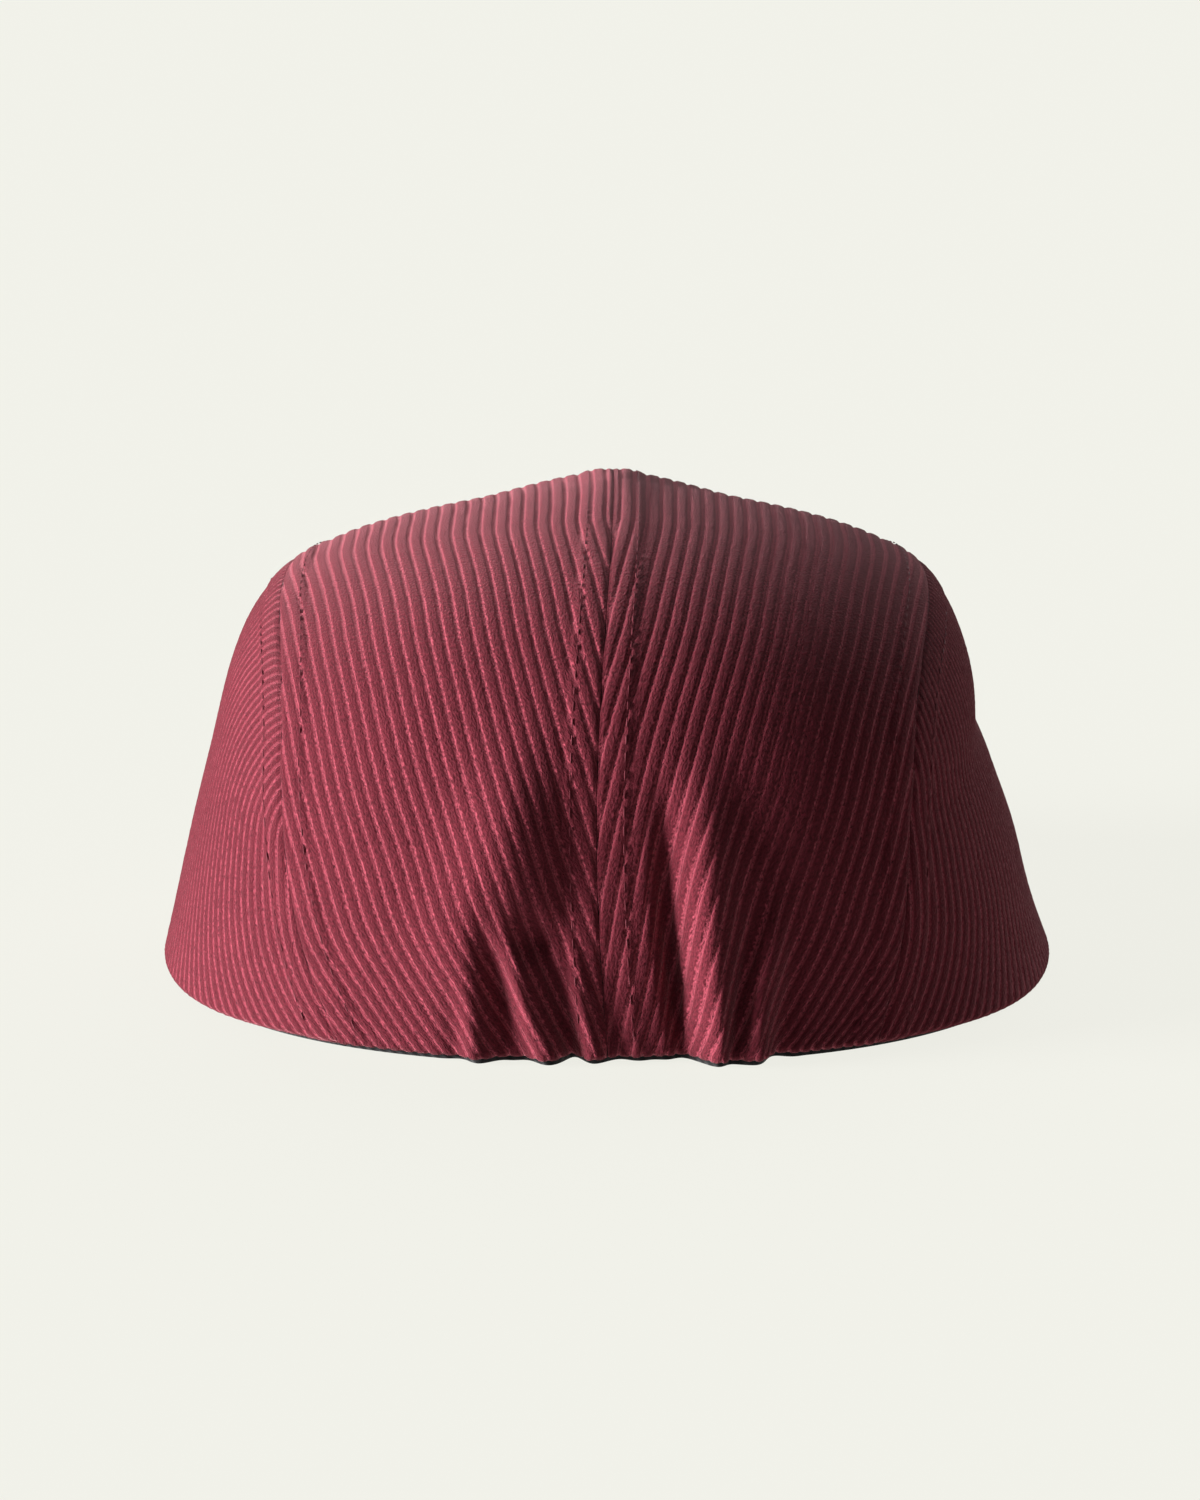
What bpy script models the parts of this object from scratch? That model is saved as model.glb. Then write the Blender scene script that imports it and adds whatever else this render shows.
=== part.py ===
"""Five-panel cap in corduroy with a gathered elastic back, standing on its hem. Metres, +Z up.

The origin is the centre of the head opening, in the plane of the hem. The peak points along -Y, the elastic
back along +Y, and the wearer's left is +X.

The crown is a dome of meridians. A place on it is a point (a, b) of a unit disc: the rim of the disc is the hem,
its middle is the apex, +b is the back and +a the wearer's left. The direction of such a point is its angle from
the back, and its climb is 0 at the hem and 1 at the apex. Every panel is a four-sided patch of that disc.
"""

import math
from collections import namedtuple

import bpy
import numpy as np

# Hem outline: half of it lies before the head's widest line and half behind, with squarish corners
HEM_WIDTH = 0.178
HEM_FRONT = 0.100
HEM_BACK = 0.097
HEM_SQUARENESS = 2.25

# Crown
CROWN_HEIGHT = 0.0925
APEX_FORWARD = 0.012
SWAY_MIDDLE = 0.0027
SWAY_TOP = -0.0013

# Cloth, and the gap that neighbouring pieces keep
CLOTH = 0.0020
BAND_CLOTH = 0.0012
PIECE_GAP = 0.0003
BAND_CLEARANCE = 0.0012

# Inner band and elastic
BAND_HEIGHT = 0.028
BACK_HEM_LIFT = 0.0010

# Peak
PEAK_LENGTH = 0.062
PEAK_THICKNESS = 0.0030
PEAK_ARCH = 0.007
PEAK_HALF_ANGLE = 56.0
PEAK_SQUARENESS = 2.3
PEAK_EDGE_RADIUS = 0.0012

# Meridian handles by direction, in degrees from the back. Outward shares are of the hem's reach and upward
# shares of the crown's height: the wall handle steers the side wall, and the roof handle the top.
Meridian = namedtuple("Meridian", "direction wall_out wall_up roof_out roof_up")
MERIDIANS = (
    Meridian(0, 0.90, 0.52, 0.86, 0.98),
    Meridian(45, 0.90, 0.54, 0.93, 0.925),
    Meridian(90, 0.72, 0.82, 1.00, 0.865),
    Meridian(135, 0.83, 0.71, 0.92, 0.86),
    Meridian(180, 0.96, 0.60, 0.93, 0.985),
)

# Side seam, from the hem up the back and forward over the shoulder to the front panel's top corner
SeamPoint = namedtuple("SeamPoint", "direction climb")
SIDE_SEAM = (
    SeamPoint(33.0, 0.0),
    SeamPoint(38.0, 0.11),
    SeamPoint(42.0, 0.23),
    SeamPoint(45.5, 0.34),
    SeamPoint(50.5, 0.45),
    SeamPoint(61.0, 0.54),
    SeamPoint(79.0, 0.585),
    SeamPoint(104.0, 0.59),
    SeamPoint(132.0, 0.56),
)
SHOULDER_ROW = 5

# Front seam: up the front panel's side, then over the top from its corner to the centre line
FRONT_SIDE = (
    SeamPoint(121.0, 0.0),
    SeamPoint(122.5, 0.20),
    SeamPoint(125.5, 0.40),
    SeamPoint(132.0, 0.56),
)
FRONT_TOP = (
    SeamPoint(132.0, 0.56),
    SeamPoint(146.0, 0.665),
    SeamPoint(162.0, 0.725),
    SeamPoint(180.0, 0.745),
)

# Folds that the elastic gathers. Each starts at the hem, leans by the time it dies out at its top, and stands
# out (ridge) or in (valley) by its rise. The first is the broad hollow that the others lie in. A fold keeps its
# full rise up to the last share of its climb, in which it fades.
Fold = namedtuple("Fold", "direction lean top half_width rise")
FOLD_FADE = 0.6
FOLDS = (
    Fold(-1.0, 0.5, 0.46, 9.0, -0.0036),
    Fold(-8.2, -0.4, 0.42, 1.8, -0.0040),
    Fold(-11.2, -2.6, 0.46, 2.5, 0.0042),
    Fold(-12.8, -6.4, 0.22, 1.2, -0.0018),
    Fold(-16.0, -5.6, 0.24, 2.4, 0.0018),
    Fold(-20.5, -4.0, 0.20, 1.6, -0.0010),
    Fold(2.2, 1.6, 0.20, 1.2, 0.0016),
    Fold(4.4, 3.6, 0.21, 1.1, -0.0026),
    Fold(7.6, 5.0, 0.22, 1.7, 0.0032),
    Fold(10.3, 5.4, 0.22, 1.6, -0.0022),
    Fold(14.5, 5.0, 0.18, 1.8, 0.0008),
)

# Soft dents where the side walls give
Dent = namedtuple("Dent", "direction climb half_width half_height rise")
DENTS = (
    Dent(14.5, 0.29, 7.0, 0.11, 0.0046),
    Dent(5.0, 0.26, 4.0, 0.12, -0.0020),
    Dent(-95.0, 0.29, 42.0, 0.05, -0.0018),
    Dent(-95.0, 0.13, 42.0, 0.06, 0.0012),
    Dent(95.0, 0.27, 38.0, 0.12, -0.0011),
)

# Faces across and along each patch, and how much closer the back panels' columns stand at the gathers
BACK_GRID = (26, 24)
SIDE_GRID = (16, 13)
FRONT_GRID = (22, 13)
PEAK_GRID = (26, 6)
BAND_COLUMNS = 56
BAND_ROWS = 3
ELASTIC_ROWS = 6
BACK_CROWDING = 1.25
HEM_CROWDING = 1.35

CORDUROY_COLOUR = (0.235, 0.045, 0.062, 1.0)
BAND_COLOUR = (0.010, 0.009, 0.010, 1.0)

DIFFERENCE_STEP = 1e-4


def hermite(rows, place):
    """The smooth curve through the rows of an array, at places counted in rows."""
    padded = np.vstack([2 * rows[0] - rows[1], rows, 2 * rows[-1] - rows[-2]])
    row = np.clip(np.floor(place).astype(int), 0, len(rows) - 2)
    t = (place - row)[..., None]
    before, start, end, after = (padded[row + k] for k in range(4))
    slope_start, slope_end = (end - before) / 2, (after - start) / 2
    return (
        (2 * t**3 - 3 * t**2 + 1) * start
        + (t**3 - 2 * t**2 + t) * slope_start
        + (3 * t**2 - 2 * t**3) * end
        + (t**3 - t**2) * slope_end
    )


def smooth_step(x):
    """0 below 0, 1 above 1, and smooth between."""
    x = np.clip(x, 0.0, 1.0)
    return x * x * (3 - 2 * x)


def disc(direction, climb):
    """The disc point of a direction in degrees and a climb."""
    angle = np.radians(direction)
    return np.stack([(1 - climb) * np.sin(angle), (1 - climb) * np.cos(angle)], axis=-1)


def direction_and_climb(place):
    """A disc point's direction in degrees, from -180 to 180, and its climb."""
    direction = np.degrees(np.arctan2(place[..., 0], place[..., 1]))
    return direction, 1 - np.hypot(place[..., 0], place[..., 1])


def hem_outline(direction):
    """Where the hem's outer edge lies in plan, in a direction."""
    angle = np.radians(direction)
    across, along = np.sin(angle), np.cos(angle)
    size = (np.abs(across) ** HEM_SQUARENESS + np.abs(along) ** HEM_SQUARENESS) ** (-1 / HEM_SQUARENESS)
    reach = np.where(along > 0, HEM_BACK, HEM_FRONT)
    return np.stack([HEM_WIDTH / 2 * size * across, reach * size * along], axis=-1)


def peak_half_width():
    """Half the width of the peak, which its ends on the hem set."""
    return float(hem_outline(180.0 - PEAK_HALF_ANGLE)[0])


def arch_height(x):
    """How high the peak's underside stands at a distance from the centre line."""
    return PEAK_ARCH * np.clip(1 - (x / peak_half_width()) ** 2, 0, None)


def hem_height(direction):
    """The height of the hem: it arches over the peak, and it is lifted a little over the elastic."""
    outline = hem_outline(direction)
    over_peak = np.where(outline[..., 1] < 0, arch_height(outline[..., 0]), 0.0)
    seam = SIDE_SEAM[0].direction
    over_elastic = BACK_HEM_LIFT * (1 - smooth_step((np.abs(direction) - seam) / seam))
    return over_peak + over_elastic


def meridian(direction):
    """The four handles in each direction: shares of the hem's reach and of the crown's height."""
    rows = np.array([row[1:] for row in MERIDIANS])
    step = MERIDIANS[1].direction - MERIDIANS[0].direction
    mirrored = np.vstack([rows[1], rows, rows[-2]])
    return np.moveaxis(hermite(mirrored, np.abs(direction) / step + 1), -1, 0)


def dome(place):
    """The crown's smooth outer surface, without folds."""
    direction, climb = direction_and_climb(place)
    wall_out, wall_up, roof_out, roof_up = meridian(direction)
    start, wall = (1 - climb) ** 3, 3 * (1 - climb) ** 2 * climb
    roof, end = 3 * (1 - climb) * climb**2, climb**3
    reach = start + wall * wall_out + roof * roof_out
    height = wall * wall_up + roof * roof_up + end
    outline = hem_outline(direction)
    sway = SWAY_MIDDLE * np.sin(math.pi * height) + SWAY_TOP * height
    x = outline[..., 0] * reach + sway
    y = -APEX_FORWARD + (outline[..., 1] + APEX_FORWARD) * reach
    z = CROWN_HEIGHT * height + hem_height(direction) * (1 - climb) ** 3
    return np.stack([x, y, z], axis=-1)


def outward(place):
    """Unit directions out of the crown's surface, level at the hem so that its edge is flat."""
    along_a = dome(place + [DIFFERENCE_STEP, 0]) - dome(place - [DIFFERENCE_STEP, 0])
    along_b = dome(place + [0, DIFFERENCE_STEP]) - dome(place - [0, DIFFERENCE_STEP])
    normal = np.cross(along_a, along_b)
    normal /= np.linalg.norm(normal, axis=-1, keepdims=True)
    _, climb = direction_and_climb(place)
    band_share = BAND_HEIGHT / CROWN_HEIGHT
    normal[..., 2] *= smooth_step(2 * climb / band_share)
    return normal / np.linalg.norm(normal, axis=-1, keepdims=True)


def relief(place):
    """How far folds and dents stand out of the smooth crown."""
    direction, climb = direction_and_climb(place)
    total = np.zeros_like(climb)
    for fold in FOLDS:
        rise = np.clip(climb / fold.top, 0, 1)
        offset = (direction - fold.direction - fold.lean * rise) / fold.half_width
        total += fold.rise * smooth_step((1 - rise) / FOLD_FADE) * np.exp(-(offset**2))
    for dent in DENTS:
        sideways = (direction - dent.direction) / dent.half_width
        upward = (climb - dent.climb) / dent.half_height
        total += dent.rise * np.exp(-(sideways**2) - upward**2)
    return total


def crown(place, depth=0.0):
    """The crown's surface at a depth below its outer face."""
    return dome(place) + outward(place) * (relief(place) - depth)[..., None]


def seam_curve(rows, count, side):
    """Disc points along a seam, evenly spaced in its rows, on the left (side 1) or the right (side -1)."""
    polar = hermite(np.array(rows, dtype=float), np.linspace(0, len(rows) - 1, count + 1))
    return disc(side * polar[:, 0], polar[:, 1])


def hem_curve(start, end, count):
    """Disc points along the hem between two directions."""
    return disc(np.linspace(start, end, count + 1), 0.0)


def patch(bottom, top, left, right):
    """A grid of disc points that fills the space between four edges. Rows run from bottom to top."""
    u = np.linspace(0, 1, len(bottom))[None, :, None]
    v = np.linspace(0, 1, len(left))[:, None, None]
    ruled = (1 - v) * bottom[None] + v * top[None] + (1 - u) * left[:, None] + u * right[:, None]
    corners = (1 - u) * (1 - v) * bottom[0] + u * (1 - v) * bottom[-1]
    corners = corners + (1 - u) * v * top[0] + u * v * top[-1]
    return ruled - corners


def crowded(curve, power):
    """The same curve with its points drawn towards its start."""
    share = np.linspace(0, 1, len(curve)) ** power
    return hermite(curve, share * (len(curve) - 1))


def back_places(side):
    """Disc points of a back panel: columns from the centre seam to the side seam, rows from the hem forward."""
    columns, rows = BACK_GRID
    bottom = crowded(hem_curve(0.0, side * SIDE_SEAM[0].direction, columns), BACK_CROWDING)
    top = crowded(seam_curve(FRONT_TOP, columns, side)[::-1], BACK_CROWDING)
    centre_front = disc(180.0, FRONT_TOP[-1].climb)
    share = np.linspace(0, 1, rows + 1)[:, None]
    centre = (1 - share) * disc(0.0, 0.0) + share * centre_front
    centre[:, 0] = 0.0
    side_edge = seam_curve(SIDE_SEAM, rows, side)
    return patch(bottom, top, crowded(centre, HEM_CROWDING), crowded(side_edge, HEM_CROWDING))


def side_places(side):
    """Disc points of a side panel: columns from the back corner to the front, rows from the hem up."""
    columns, rows = SIDE_GRID
    bottom = hem_curve(side * SIDE_SEAM[0].direction, side * FRONT_SIDE[0].direction, columns)
    top = seam_curve(SIDE_SEAM[SHOULDER_ROW:], columns, side)
    back_edge = seam_curve(SIDE_SEAM[: SHOULDER_ROW + 1], rows, side)
    front_edge = seam_curve(FRONT_SIDE, rows, side)
    return patch(bottom, top, back_edge, front_edge)


def front_places():
    """Disc points of the front panel: columns from the wearer's left to the right, rows from the hem up."""
    columns, rows = FRONT_GRID
    half = columns // 2
    bottom = hem_curve(FRONT_SIDE[0].direction, 360.0 - FRONT_SIDE[0].direction, columns)
    left_top, right_top = (seam_curve(FRONT_TOP, half, side) for side in (1, -1))
    top = np.vstack([left_top, right_top[::-1][1:]])
    return patch(bottom, top, seam_curve(FRONT_SIDE, rows, 1), seam_curve(FRONT_SIDE, rows, -1))


def drawn_in(points, edges):
    """A grid of points with its named edges moved inwards by half the gap that pieces keep."""
    moved = points.copy()
    sides = {"bottom": (0, 1), "top": (-1, -2), "left": (0, 1), "right": (-1, -2)}
    for edge in edges:
        grid = moved if edge in ("bottom", "top") else moved.swapaxes(0, 1)
        outer, inner = sides[edge]
        inwards = grid[inner] - grid[outer]
        inwards /= np.linalg.norm(inwards, axis=-1, keepdims=True)
        grid[outer] += inwards * PIECE_GAP / 2
    return moved


def material(name, colour, roughness, sheen):
    """A plain Principled material."""
    made = bpy.data.materials.new(name)
    made.use_nodes = True
    shader = made.node_tree.nodes["Principled BSDF"]
    shader.inputs["Base Color"].default_value = colour
    shader.inputs["Roughness"].default_value = roughness
    shader.inputs["Sheen Weight"].default_value = sheen
    shader.inputs["Metallic"].default_value = 0.0
    return made


def add_object(name, vertices, faces, finish):
    """A named object in the scene from points and faces."""
    mesh = bpy.data.meshes.new(name)
    mesh.from_pydata([tuple(map(float, point)) for point in vertices], [], faces)
    mesh.materials.append(finish)
    mesh.shade_smooth()
    mesh.set_sharp_from_angle(angle=math.radians(50))
    made = bpy.data.objects.new(name, mesh)
    bpy.context.scene.collection.objects.link(made)
    return made


def shell_faces(rows, columns):
    """Faces of a closed shell of two grids, the outer one first, each with rows times columns points."""
    count = rows * columns
    index = np.arange(count).reshape(rows, columns)
    a, b, c, d = index[:-1, :-1], index[:-1, 1:], index[1:, 1:], index[1:, :-1]
    outer = np.stack([a, b, c, d], axis=-1).reshape(-1, 4)
    inner = outer[:, ::-1] + count
    rim = np.concatenate([index[0, :], index[1:, -1], index[-1, -2::-1], index[-2:0:-1, 0]])
    after = np.roll(rim, -1)
    walls = np.stack([after, rim, rim + count, after + count], axis=-1)
    return np.vstack([outer, inner, walls])


def add_shell(name, outer, inner, finish):
    """A closed wall between two grids of points, with its faces pointing out."""
    rows, columns = outer.shape[:2]
    vertices = np.vstack([outer.reshape(-1, 3), inner.reshape(-1, 3)])
    faces = shell_faces(rows, columns)
    middle, across, up = outer[rows // 2, columns // 2 - 1 : columns // 2 + 2]
    outside = np.cross(across - middle, outer[rows // 2 + 1, columns // 2 - 1] - middle)
    towards = middle - inner[rows // 2, columns // 2 - 1]
    if np.dot(outside, towards) < 0:
        faces = faces[:, ::-1]
    return add_object(name, vertices, faces.tolist(), finish)


def add_panel(name, places, seams, finish):
    """One cloth panel of the crown, drawn in at the seams that it shares."""
    outer = drawn_in(crown(places), seams)
    inner = drawn_in(crown(places, CLOTH), seams)
    return add_shell(name, outer, inner, finish)


def band_places():
    """Disc points of the inner band: columns round the front from side seam to side seam, rows up."""
    seam = SIDE_SEAM[0].direction
    direction = np.linspace(seam, 360.0 - seam, BAND_COLUMNS + 1)
    return climbing(disc(direction, 0.0)[None], BAND_ROWS)


def climbing(hem_row, rows):
    """Rows of disc points from a hem row up to the height of the inner band."""
    direction, _ = direction_and_climb(hem_row)
    _, wall_up, _, _ = meridian(direction)
    top = BAND_HEIGHT / (3 * CROWN_HEIGHT * wall_up)
    share = np.linspace(0, 1, rows + 1)[:, None]
    return disc(direction, share * top)


def elastic_places():
    """Disc points of the elastic: the columns of both back panels, from the left side seam to the right."""
    left, right = (back_places(side)[0] for side in (1, -1))
    return climbing(np.vstack([left[::-1], right[1:]])[None], ELASTIC_ROWS)


def add_band(name, places, finish):
    """A strip of the inner band, a gap inside the crown's cloth, with its foot on the ground plane."""
    depth = CLOTH + BAND_CLEARANCE
    outer, inner = (crown(places, d) for d in (depth, depth + BAND_CLOTH))
    direction, climb = direction_and_climb(places)
    lowered = hem_height(direction) * np.where(np.abs(direction) < 90, 1.0, 0.0) * (climb < 1e-6)
    outer[..., 2] -= lowered
    inner[..., 2] -= lowered
    ends = ("left", "right")
    return add_shell(name, drawn_in(outer, ends), drawn_in(inner, ends), finish)


def peak_outline(columns):
    """Plan points of the peak's inner edge, a gap before the crown, and of its outer edge."""
    direction = np.linspace(180.0 - PEAK_HALF_ANGLE, 180.0 + PEAK_HALF_ANGLE, columns + 1)
    hem = hem_outline(direction)
    ahead = hem_outline(direction + 0.5) - hem_outline(direction - 0.5)
    normal = np.stack([ahead[:, 1], -ahead[:, 0]], axis=-1)
    normal /= np.linalg.norm(normal, axis=-1, keepdims=True)
    normal *= np.sign((normal * hem).sum(axis=-1, keepdims=True))
    inner = hem + normal * PIECE_GAP
    half, start = peak_half_width(), inner[0, 1]
    reach = HEM_FRONT + PEAK_LENGTH + start
    angle = np.linspace(0, math.pi, columns + 1)
    power = 2 / PEAK_SQUARENESS
    across, along = np.cos(angle), np.sin(angle)
    x = half * np.sign(across) * np.abs(across) ** power
    y = start - reach * np.clip(along, 0, None) ** power
    return inner, np.stack([x, y], axis=-1)


def add_peak(finish):
    """The stiff peak: a crescent plate, arched across, butting on the front of the crown."""
    columns, rows = PEAK_GRID
    inner, outer = peak_outline(columns)
    share = np.linspace(0, 1, rows + 1)[:, None, None]
    plan = (1 - share) * inner[None] + share * outer[None]
    plan = plan[:, 1:-1]
    under = arch_height(plan[..., 0])
    bottom = np.dstack([plan, under])
    top = np.dstack([plan, under + PEAK_THICKNESS])
    peak = add_shell("peak", top, bottom, finish)
    rounding = peak.modifiers.new("rounded_edge", "BEVEL")
    rounding.width = PEAK_EDGE_RADIUS
    rounding.segments = 1
    rounding.limit_method = "ANGLE"
    rounding.angle_limit = math.radians(50)
    return peak


def build():
    """Clears the scene and makes every piece of the cap."""
    for old in list(bpy.data.objects):
        bpy.data.objects.remove(old)
    corduroy = material("corduroy", CORDUROY_COLOUR, 0.85, 0.6)
    band = material("band_twill", BAND_COLOUR, 0.8, 0.2)
    elastic = material("elastic_knit", BAND_COLOUR, 0.7, 0.2)
    for side, name in ((1, "left"), (-1, "right")):
        add_panel(f"back_panel_{name}", back_places(side), ("top", "left", "right"), corduroy)
        add_panel(f"side_panel_{name}", side_places(side), ("top", "left", "right"), corduroy)
    add_panel("front_panel", front_places(), ("top", "left", "right"), corduroy)
    add_band("sweatband", band_places(), band)
    add_band("back_elastic", elastic_places(), elastic)
    add_peak(corduroy)


build()
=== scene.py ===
"""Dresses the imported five-panel cap in corduroy, and sets it up in a plain studio, seen from behind.

All sizes are in metres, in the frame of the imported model: +Z is up, the peak points along -Y, the gathered
back along +Y, and the wearer's left is +X. The crown is a dome of meridians. A place on it is a point of a unit
disc, whose rim is the hem and whose middle is the apex, with +b at the back and +a on the wearer's left. The
direction of a place is its angle from the back, and its climb goes from 0 at the hem to 1 at the apex.
"""

from __future__ import annotations

import logging
import math
from dataclasses import dataclass, field
from enum import Enum
from typing import NamedTuple, Sequence

import bpy
import numpy as np
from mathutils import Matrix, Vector

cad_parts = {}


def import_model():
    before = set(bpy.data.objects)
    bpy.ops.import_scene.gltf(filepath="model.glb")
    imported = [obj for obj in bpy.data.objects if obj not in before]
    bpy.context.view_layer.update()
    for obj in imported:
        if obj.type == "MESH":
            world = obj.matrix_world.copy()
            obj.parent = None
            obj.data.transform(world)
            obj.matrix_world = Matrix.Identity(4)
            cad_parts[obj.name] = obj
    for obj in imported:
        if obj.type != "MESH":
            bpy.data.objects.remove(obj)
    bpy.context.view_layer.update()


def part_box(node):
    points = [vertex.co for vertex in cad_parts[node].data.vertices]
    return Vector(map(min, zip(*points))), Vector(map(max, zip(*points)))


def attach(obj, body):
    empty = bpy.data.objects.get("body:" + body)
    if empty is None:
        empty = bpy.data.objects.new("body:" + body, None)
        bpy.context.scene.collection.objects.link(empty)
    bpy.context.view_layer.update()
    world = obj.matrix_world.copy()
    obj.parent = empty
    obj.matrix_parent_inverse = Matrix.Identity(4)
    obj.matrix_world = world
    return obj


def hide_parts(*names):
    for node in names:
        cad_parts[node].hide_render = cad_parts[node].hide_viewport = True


LOG = logging.getLogger("five_panel_cap")
Socket = bpy.types.NodeSocket


class Side(Enum):
    """The wearer's left or right, with the sign of X on that side."""

    LEFT = 1
    RIGHT = -1


class Meridian(NamedTuple):
    """Handles of the crown's section in one direction, as shares of the hem's reach and the height."""

    direction: float
    wall_out: float
    wall_up: float
    roof_out: float
    roof_up: float


class SeamPoint(NamedTuple):
    """A point of a seam: its direction from the back in degrees, and its climb."""

    direction: float
    climb: float


class Fold(NamedTuple):
    """A fold from the hem: its direction there, its lean by its top, its top's climb, half width and rise."""

    direction: float
    lean: float
    top: float
    half_width: float
    rise: float


class Dent(NamedTuple):
    """A soft dent: its direction and climb, its half sizes in both, and its rise."""

    direction: float
    climb: float
    half_width: float
    half_height: float
    rise: float


class Ripple(NamedTuple):
    """A ripple that the elastic pulls into the hem: its length over two pi, its share and its shift."""

    length: float
    share: float
    shift: float


class Cut(NamedTuple):
    """How one side's wales run: their lean on roof and back, their gather, and the side panel's fan."""

    top_lean: float
    lean: float
    gather: float
    fan: float


MERIDIANS = (
    Meridian(0, 0.90, 0.52, 0.86, 0.98),
    Meridian(45, 0.90, 0.54, 0.93, 0.925),
    Meridian(90, 0.72, 0.82, 1.00, 0.865),
    Meridian(135, 0.83, 0.71, 0.92, 0.86),
    Meridian(180, 0.96, 0.60, 0.93, 0.985),
)
SIDE_SEAM = (
    SeamPoint(33.0, 0.0),
    SeamPoint(38.0, 0.11),
    SeamPoint(42.0, 0.23),
    SeamPoint(45.5, 0.34),
    SeamPoint(50.5, 0.45),
    SeamPoint(61.0, 0.54),
    SeamPoint(79.0, 0.585),
    SeamPoint(104.0, 0.59),
    SeamPoint(132.0, 0.56),
)
SHOULDER_ROW = 5
FRONT_SIDE = (
    SeamPoint(121.0, 0.0),
    SeamPoint(122.5, 0.20),
    SeamPoint(125.5, 0.40),
    SeamPoint(132.0, 0.56),
)
FRONT_TOP = (
    SeamPoint(132.0, 0.56),
    SeamPoint(146.0, 0.665),
    SeamPoint(162.0, 0.725),
    SeamPoint(180.0, 0.745),
)
FOLD_FADE = 0.6
FOLDS = (
    Fold(-1.0, 0.5, 0.46, 9.0, -0.0026),
    Fold(-8.9, -0.2, 0.42, 1.8, -0.0044),
    Fold(-12.9, -2.2, 0.46, 3.4, 0.0042),
    Fold(-14.2, -6.0, 0.22, 1.2, -0.0020),
    Fold(-17.2, -5.4, 0.24, 2.2, 0.0028),
    Fold(-21.0, -4.0, 0.20, 1.6, -0.0010),
    Fold(2.2, 1.6, 0.20, 1.2, 0.0016),
    Fold(4.4, 3.6, 0.21, 1.1, -0.0018),
    Fold(7.6, 5.0, 0.22, 1.7, 0.0022),
    Fold(10.3, 5.4, 0.22, 1.6, -0.0022),
    Fold(14.5, 5.0, 0.18, 1.8, 0.0008),
)
DENTS = (
    Dent(11.6, 0.29, 6.2, 0.11, 0.0036),
    Dent(17.0, 0.15, 5.5, 0.09, 0.0018),
    Dent(3.4, 0.25, 2.8, 0.11, -0.0008),
    Dent(8.4, 0.160, 3.0, 0.026, -0.0024),
    Dent(-9.4, 0.10, 1.3, 0.06, -0.0020),
    Dent(-95.0, 0.29, 42.0, 0.05, -0.0018),
    Dent(-95.0, 0.13, 42.0, 0.06, 0.0012),
    Dent(95.0, 0.27, 38.0, 0.12, -0.0011),
)
PUCKERS = (Ripple(0.0013, 1.0, 0.0), Ripple(0.0021, 0.7, 1.3))
CUTS = {Side.LEFT: Cut(11.3, 18.0, 0.07, 48.0), Side.RIGHT: Cut(6.5, 12.5, 0.30, 10.0)}


def hermite(rows: np.ndarray, place: np.ndarray) -> np.ndarray:
    """Follows the smooth curve through the rows of an array.

    Args:
        rows: One row for each point of the curve.
        place: Places on the curve, counted in rows.

    Returns:
        The curve's values, with one more axis than place.
    """
    padded = np.vstack([2 * rows[0] - rows[1], rows, 2 * rows[-1] - rows[-2]])
    row = np.clip(np.floor(place).astype(int), 0, len(rows) - 2)
    t = (place - row)[..., None]
    before, start, end, after = (padded[row + k] for k in range(4))
    return (
        (2 * t**3 - 3 * t**2 + 1) * start
        + (t**3 - 2 * t**2 + t) * (end - before) / 2
        + (3 * t**2 - 2 * t**3) * end
        + (t**3 - t**2) * (after - start) / 2
    )


def smooth_step(x: np.ndarray) -> np.ndarray:
    """Rises smoothly from 0 to 1 as x goes from 0 to 1."""
    x = np.clip(x, 0.0, 1.0)
    return x * x * (3 - 2 * x)


def eased(values: np.ndarray, reach: int) -> np.ndarray:
    """Averages a grid's values with those of the nearby rows.

    Args:
        values: The grid.
        reach: How many rows to each side count, with falling weights.

    Returns:
        The smoother grid.
    """
    weights = bell(np.linspace(-2, 2, 2 * reach + 1))
    padded = np.pad(values, ((reach, reach), (0, 0)), mode="edge")
    total = sum(weight * padded[k : k + len(values)] for k, weight in enumerate(weights))
    return total / weights.sum()


def softened(distance: np.ndarray, radius: float) -> np.ndarray:
    """Gives a distance where it is positive and 0 elsewhere, with a soft bend between of a given radius."""
    return np.sqrt(np.clip(distance, 0, None) ** 2 + radius**2) - radius


def bell(x: np.ndarray) -> np.ndarray:
    """A bell curve of height 1, about one unit wide to each side."""
    return np.exp(-(x**2))


def disc(direction: np.ndarray, climb: np.ndarray) -> np.ndarray:
    """Gives the disc points of directions in degrees and climbs."""
    angle = np.radians(direction)
    return np.stack([(1 - climb) * np.sin(angle), (1 - climb) * np.cos(angle)], axis=-1)


def polar(place: np.ndarray) -> tuple[np.ndarray, np.ndarray]:
    """Gives the directions of disc points, from -180 to 180 degrees, and their climbs."""
    direction = np.degrees(np.arctan2(place[..., 0], place[..., 1]))
    return direction, 1 - np.hypot(place[..., 0], place[..., 1])


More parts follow.
